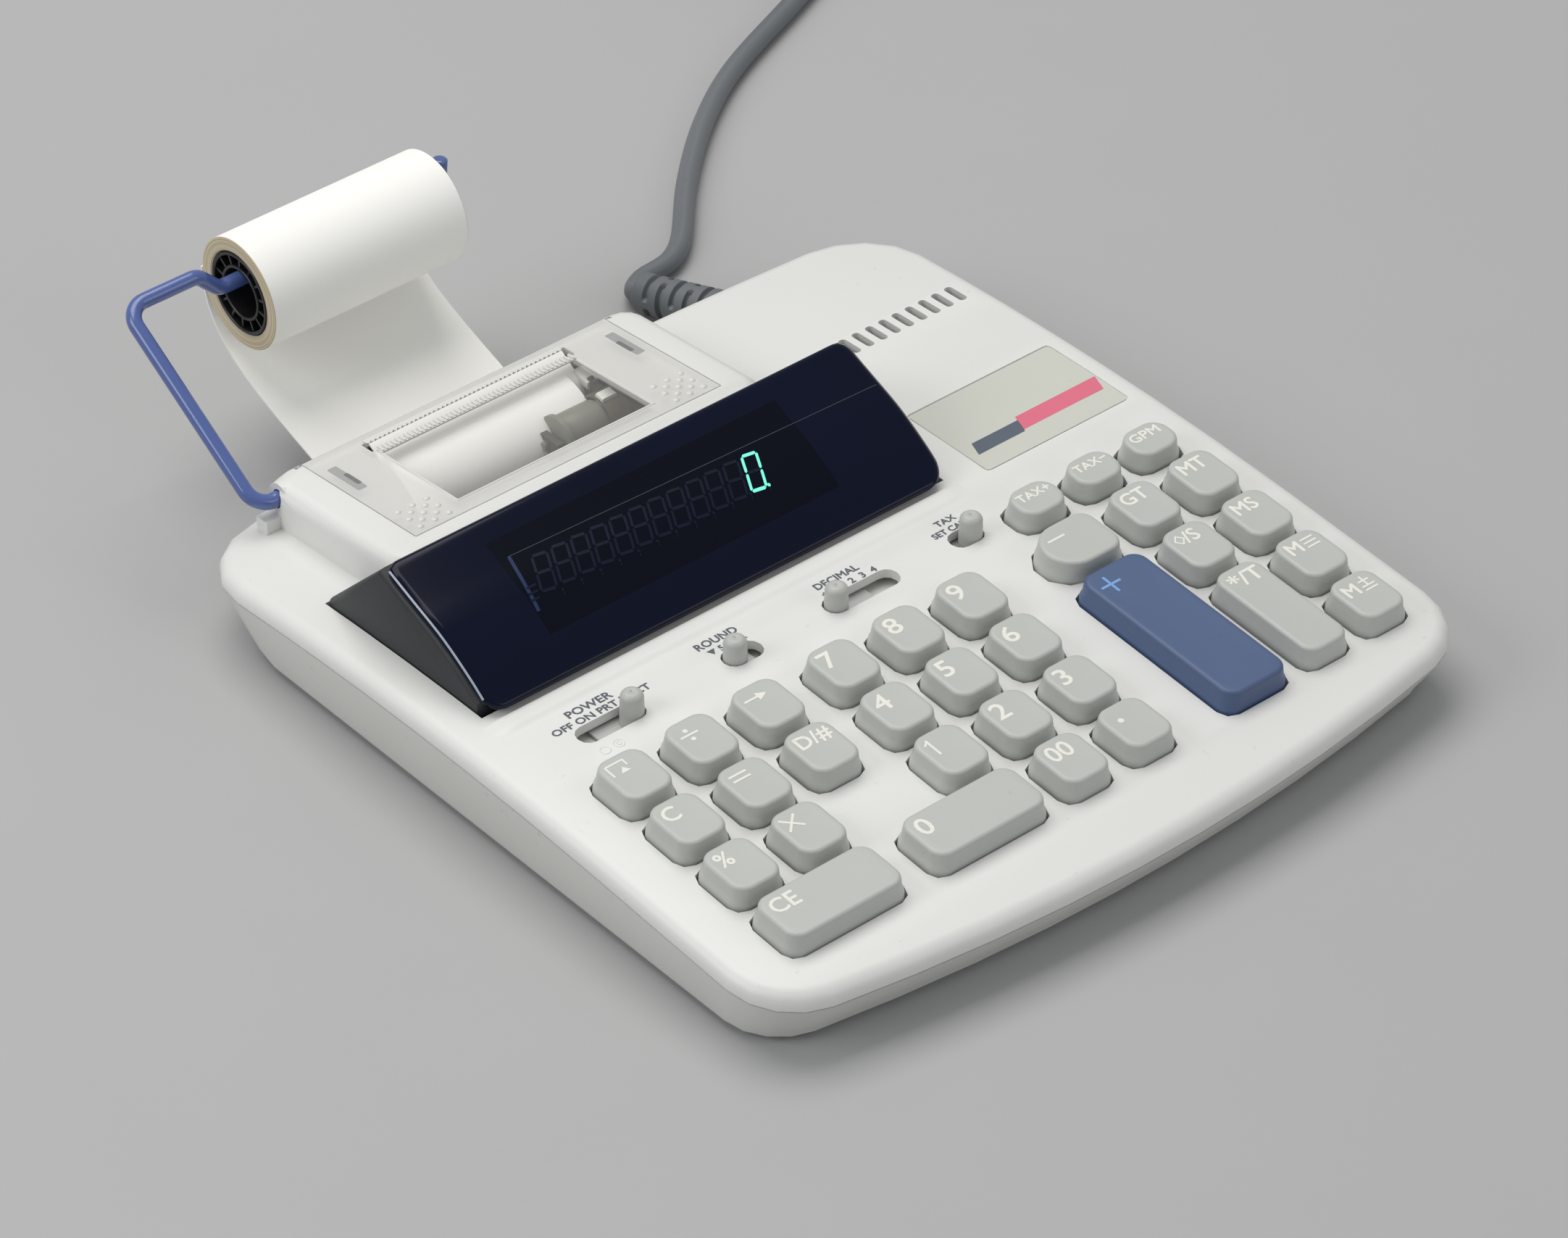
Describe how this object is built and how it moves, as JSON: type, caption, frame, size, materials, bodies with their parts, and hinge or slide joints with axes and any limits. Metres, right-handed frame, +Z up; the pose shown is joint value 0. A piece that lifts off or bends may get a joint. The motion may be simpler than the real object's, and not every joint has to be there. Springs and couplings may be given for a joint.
{
  "type": "printing calculator",
  "caption": "Desk calculator with a tinted display, a printer under a clear lid, a paper roll on a swinging wire arm, sprung keys, sliders and a mains cord.",
  "frame": {"origin": "on the ground, under the middle of the bounding box of the machine with its paper roll, cord left out", "axes": "+X to the user's right across the keyboard, +Y to the back where the paper roll hangs, +Z up"},
  "size_m": [0.3876, 0.4209, 0.0608],
  "materials": {
    "case_under": "satin",
    "cord_grey": "satin",
    "housing_black": "satin",
    "tube_glass": "gloss",
    "window_navy": "gloss",
    "rubber_dark": "matte",
    "ink_olive": "matte",
    "key_grey": "satin",
    "board_green": "satin",
    "key_blue": "satin",
    "arm_blue": "gloss",
    "paper_white": "matte",
    "platen_rubber": "matte",
    "plug_plastic": "satin",
    "cover_clear": "gloss",
    "frame_dark": "matte",
    "core_black": "satin",
    "slider_grey": "satin",
    "case_plastic": "satin"
  },
  "bodies": {
    "case": {"bottom_case": "case_under", "cord_coil": "cord_grey", "cord_relief": "cord_grey", "cord_run": "cord_grey", "display_housing": "housing_black", "display_tube": "tube_glass", "display_window": "window_navy", "foot_back_left": "rubber_dark", "foot_back_right": "rubber_dark", "foot_front_left": "rubber_dark", "foot_front_right": "rubber_dark", "key_board": "board_green", "paper_web": "paper_white", "power_plug": "plug_plastic", "printer_frame": "frame_dark", "top_cover": "case_plastic"},
    "cover": {"printer_cover": "cover_clear"},
    "arm": {"paper_arm": "arm_blue"},
    "roll": {"paper_roll": "paper_white", "roll_core": "core_black"},
    "platen_body": {"platen": "platen_rubber"},
    "ink_body": {"ink_roller": "ink_olive"},
    "slide_power": {"slider_power": "slider_grey"},
    "slide_round": {"slider_round": "slider_grey"},
    "slide_decimal": {"slider_decimal": "slider_grey"},
    "slide_tax": {"slider_tax": "slider_grey"},
    "key_feed_cap": {"key_feed": "key_grey"},
    "key_divide_cap": {"key_divide": "key_grey"},
    "key_right_shift_cap": {"key_right_shift": "key_grey"},
    "key_clear_cap": {"key_clear": "key_grey"},
    "key_equals_cap": {"key_equals": "key_grey"},
    "key_item_date_cap": {"key_item_date": "key_grey"},
    "key_percent_cap": {"key_percent": "key_grey"},
    "key_multiply_cap": {"key_multiply": "key_grey"},
    "key_clear_entry_cap": {"key_clear_entry": "key_grey"},
    "key_7_cap": {"key_7": "key_grey"},
    "key_8_cap": {"key_8": "key_grey"},
    "key_9_cap": {"key_9": "key_grey"},
    "key_4_cap": {"key_4": "key_grey"},
    "key_5_cap": {"key_5": "key_grey"},
    "key_6_cap": {"key_6": "key_grey"},
    "key_1_cap": {"key_1": "key_grey"},
    "key_2_cap": {"key_2": "key_grey"},
    "key_3_cap": {"key_3": "key_grey"},
    "key_0_cap": {"key_0": "key_grey"},
    "key_00_cap": {"key_00": "key_grey"},
    "key_point_cap": {"key_point": "key_grey"},
    "key_minus_cap": {"key_minus": "key_grey"},
    "key_plus_cap": {"key_plus": "key_blue"},
    "key_grand_total_cap": {"key_grand_total": "key_grey"},
    "key_memory_total_cap": {"key_memory_total": "key_grey"},
    "key_subtotal_cap": {"key_subtotal": "key_grey"},
    "key_memory_subtotal_cap": {"key_memory_subtotal": "key_grey"},
    "key_total_cap": {"key_total": "key_grey"},
    "key_memory_minus_cap": {"key_memory_minus": "key_grey"},
    "key_memory_plus_cap": {"key_memory_plus": "key_grey"},
    "key_tax_plus_cap": {"key_tax_plus": "key_grey"},
    "key_tax_minus_cap": {"key_tax_minus": "key_grey"},
    "key_margin_cap": {"key_margin": "key_grey"}
  },
  "joints": [
    {"name": "arm_swing", "type": "hinge", "parent": "case", "child": "arm", "pos_m": [0, 0.07514, 0.0266], "axis": [1, 0, 0], "range_deg": [-28, 45], "deforming": ["paper_web"]},
    {"name": "cover_lift", "type": "hinge", "parent": "case", "child": "cover", "pos_m": [0, 0.07794, 0.02891], "axis": [-1, 0, 0], "range_deg": [0, 75]},
    {"name": "roll_spin", "type": "hinge", "parent": "arm", "child": "roll", "pos_m": [0, 0.12304, 0.0465], "axis": [1, 0, 0], "continuous": true},
    {"name": "platen_spin", "type": "hinge", "parent": "case", "child": "platen_body", "pos_m": [0, 0.07204, 0.02148], "axis": [1, 0, 0], "continuous": true},
    {"name": "ink_spin", "type": "hinge", "parent": "case", "child": "ink_body", "pos_m": [0, 0.05744, 0.02088], "axis": [1, 0, 0], "continuous": true},
    {"name": "power_slide", "type": "slide", "parent": "case", "child": "slide_power", "axis": [1, 0, 0], "range_m": [-0.012, 0]},
    {"name": "round_slide", "type": "slide", "parent": "case", "child": "slide_round", "axis": [1, 0, 0], "range_m": [0, 0.0042]},
    {"name": "decimal_slide", "type": "slide", "parent": "case", "child": "slide_decimal", "axis": [1, 0, 0], "range_m": [0, 0.015]},
    {"name": "tax_slide", "type": "slide", "parent": "case", "child": "slide_tax", "axis": [1, 0, 0], "range_m": [-0.0027, 0]},
    {"name": "key_feed_press", "type": "slide", "parent": "case", "child": "key_feed_cap", "axis": [0, -0.0663, 0.9978], "range_m": [-0.003, 0], "stiffness_N_per_m": 60},
    {"name": "key_divide_press", "type": "slide", "parent": "case", "child": "key_divide_cap", "axis": [0, -0.0663, 0.9978], "range_m": [-0.003, 0], "stiffness_N_per_m": 60},
    {"name": "key_right_shift_press", "type": "slide", "parent": "case", "child": "key_right_shift_cap", "axis": [0, -0.0663, 0.9978], "range_m": [-0.003, 0], "stiffness_N_per_m": 60},
    {"name": "key_clear_press", "type": "slide", "parent": "case", "child": "key_clear_cap", "axis": [0, -0.0663, 0.9978], "range_m": [-0.003, 0], "stiffness_N_per_m": 60},
    {"name": "key_equals_press", "type": "slide", "parent": "case", "child": "key_equals_cap", "axis": [0, -0.0663, 0.9978], "range_m": [-0.003, 0], "stiffness_N_per_m": 60},
    {"name": "key_item_date_press", "type": "slide", "parent": "case", "child": "key_item_date_cap", "axis": [0, -0.0663, 0.9978], "range_m": [-0.003, 0], "stiffness_N_per_m": 60},
    {"name": "key_percent_press", "type": "slide", "parent": "case", "child": "key_percent_cap", "axis": [0, -0.0663, 0.9978], "range_m": [-0.003, 0], "stiffness_N_per_m": 60},
    {"name": "key_multiply_press", "type": "slide", "parent": "case", "child": "key_multiply_cap", "axis": [0, -0.0663, 0.9978], "range_m": [-0.003, 0], "stiffness_N_per_m": 60},
    {"name": "key_clear_entry_press", "type": "slide", "parent": "case", "child": "key_clear_entry_cap", "axis": [0, -0.0663, 0.9978], "range_m": [-0.003, 0], "stiffness_N_per_m": 60},
    {"name": "key_7_press", "type": "slide", "parent": "case", "child": "key_7_cap", "axis": [0, -0.0663, 0.9978], "range_m": [-0.003, 0], "stiffness_N_per_m": 60},
    {"name": "key_8_press", "type": "slide", "parent": "case", "child": "key_8_cap", "axis": [0, -0.0663, 0.9978], "range_m": [-0.003, 0], "stiffness_N_per_m": 60},
    {"name": "key_9_press", "type": "slide", "parent": "case", "child": "key_9_cap", "axis": [0, -0.0663, 0.9978], "range_m": [-0.003, 0], "stiffness_N_per_m": 60},
    {"name": "key_4_press", "type": "slide", "parent": "case", "child": "key_4_cap", "axis": [0, -0.0663, 0.9978], "range_m": [-0.003, 0], "stiffness_N_per_m": 60},
    {"name": "key_5_press", "type": "slide", "parent": "case", "child": "key_5_cap", "axis": [0, -0.0663, 0.9978], "range_m": [-0.003, 0], "stiffness_N_per_m": 60},
    {"name": "key_6_press", "type": "slide", "parent": "case", "child": "key_6_cap", "axis": [0, -0.0663, 0.9978], "range_m": [-0.003, 0], "stiffness_N_per_m": 60},
    {"name": "key_1_press", "type": "slide", "parent": "case", "child": "key_1_cap", "axis": [0, -0.0663, 0.9978], "range_m": [-0.003, 0], "stiffness_N_per_m": 60},
    {"name": "key_2_press", "type": "slide", "parent": "case", "child": "key_2_cap", "axis": [0, -0.0663, 0.9978], "range_m": [-0.003, 0], "stiffness_N_per_m": 60},
    {"name": "key_3_press", "type": "slide", "parent": "case", "child": "key_3_cap", "axis": [0, -0.0663, 0.9978], "range_m": [-0.003, 0], "stiffness_N_per_m": 60},
    {"name": "key_0_press", "type": "slide", "parent": "case", "child": "key_0_cap", "axis": [0, -0.0663, 0.9978], "range_m": [-0.003, 0], "stiffness_N_per_m": 60},
    {"name": "key_00_press", "type": "slide", "parent": "case", "child": "key_00_cap", "axis": [0, -0.0663, 0.9978], "range_m": [-0.003, 0], "stiffness_N_per_m": 60},
    {"name": "key_point_press", "type": "slide", "parent": "case", "child": "key_point_cap", "axis": [0, -0.0663, 0.9978], "range_m": [-0.003, 0], "stiffness_N_per_m": 60},
    {"name": "key_minus_press", "type": "slide", "parent": "case", "child": "key_minus_cap", "axis": [0, -0.0663, 0.9978], "range_m": [-0.003, 0], "stiffness_N_per_m": 60},
    {"name": "key_plus_press", "type": "slide", "parent": "case", "child": "key_plus_cap", "axis": [0, -0.0663, 0.9978], "range_m": [-0.003, 0], "stiffness_N_per_m": 60},
    {"name": "key_grand_total_press", "type": "slide", "parent": "case", "child": "key_grand_total_cap", "axis": [0, -0.0663, 0.9978], "range_m": [-0.003, 0], "stiffness_N_per_m": 60},
    {"name": "key_memory_total_press", "type": "slide", "parent": "case", "child": "key_memory_total_cap", "axis": [0, -0.0663, 0.9978], "range_m": [-0.003, 0], "stiffness_N_per_m": 60},
    {"name": "key_subtotal_press", "type": "slide", "parent": "case", "child": "key_subtotal_cap", "axis": [0, -0.0663, 0.9978], "range_m": [-0.003, 0], "stiffness_N_per_m": 60},
    {"name": "key_memory_subtotal_press", "type": "slide", "parent": "case", "child": "key_memory_subtotal_cap", "axis": [0, -0.0663, 0.9978], "range_m": [-0.003, 0], "stiffness_N_per_m": 60},
    {"name": "key_total_press", "type": "slide", "parent": "case", "child": "key_total_cap", "axis": [0, -0.0663, 0.9978], "range_m": [-0.003, 0], "stiffness_N_per_m": 60},
    {"name": "key_memory_minus_press", "type": "slide", "parent": "case", "child": "key_memory_minus_cap", "axis": [0, -0.0663, 0.9978], "range_m": [-0.003, 0], "stiffness_N_per_m": 60},
    {"name": "key_memory_plus_press", "type": "slide", "parent": "case", "child": "key_memory_plus_cap", "axis": [0, -0.0663, 0.9978], "range_m": [-0.003, 0], "stiffness_N_per_m": 60},
    {"name": "key_tax_plus_press", "type": "slide", "parent": "case", "child": "key_tax_plus_cap", "axis": [0, -0.0663, 0.9978], "range_m": [-0.003, 0], "stiffness_N_per_m": 60},
    {"name": "key_tax_minus_press", "type": "slide", "parent": "case", "child": "key_tax_minus_cap", "axis": [0, -0.0663, 0.9978], "range_m": [-0.003, 0], "stiffness_N_per_m": 60},
    {"name": "key_margin_press", "type": "slide", "parent": "case", "child": "key_margin_cap", "axis": [0, -0.0663, 0.9978], "range_m": [-0.003, 0], "stiffness_N_per_m": 60}
  ]
}
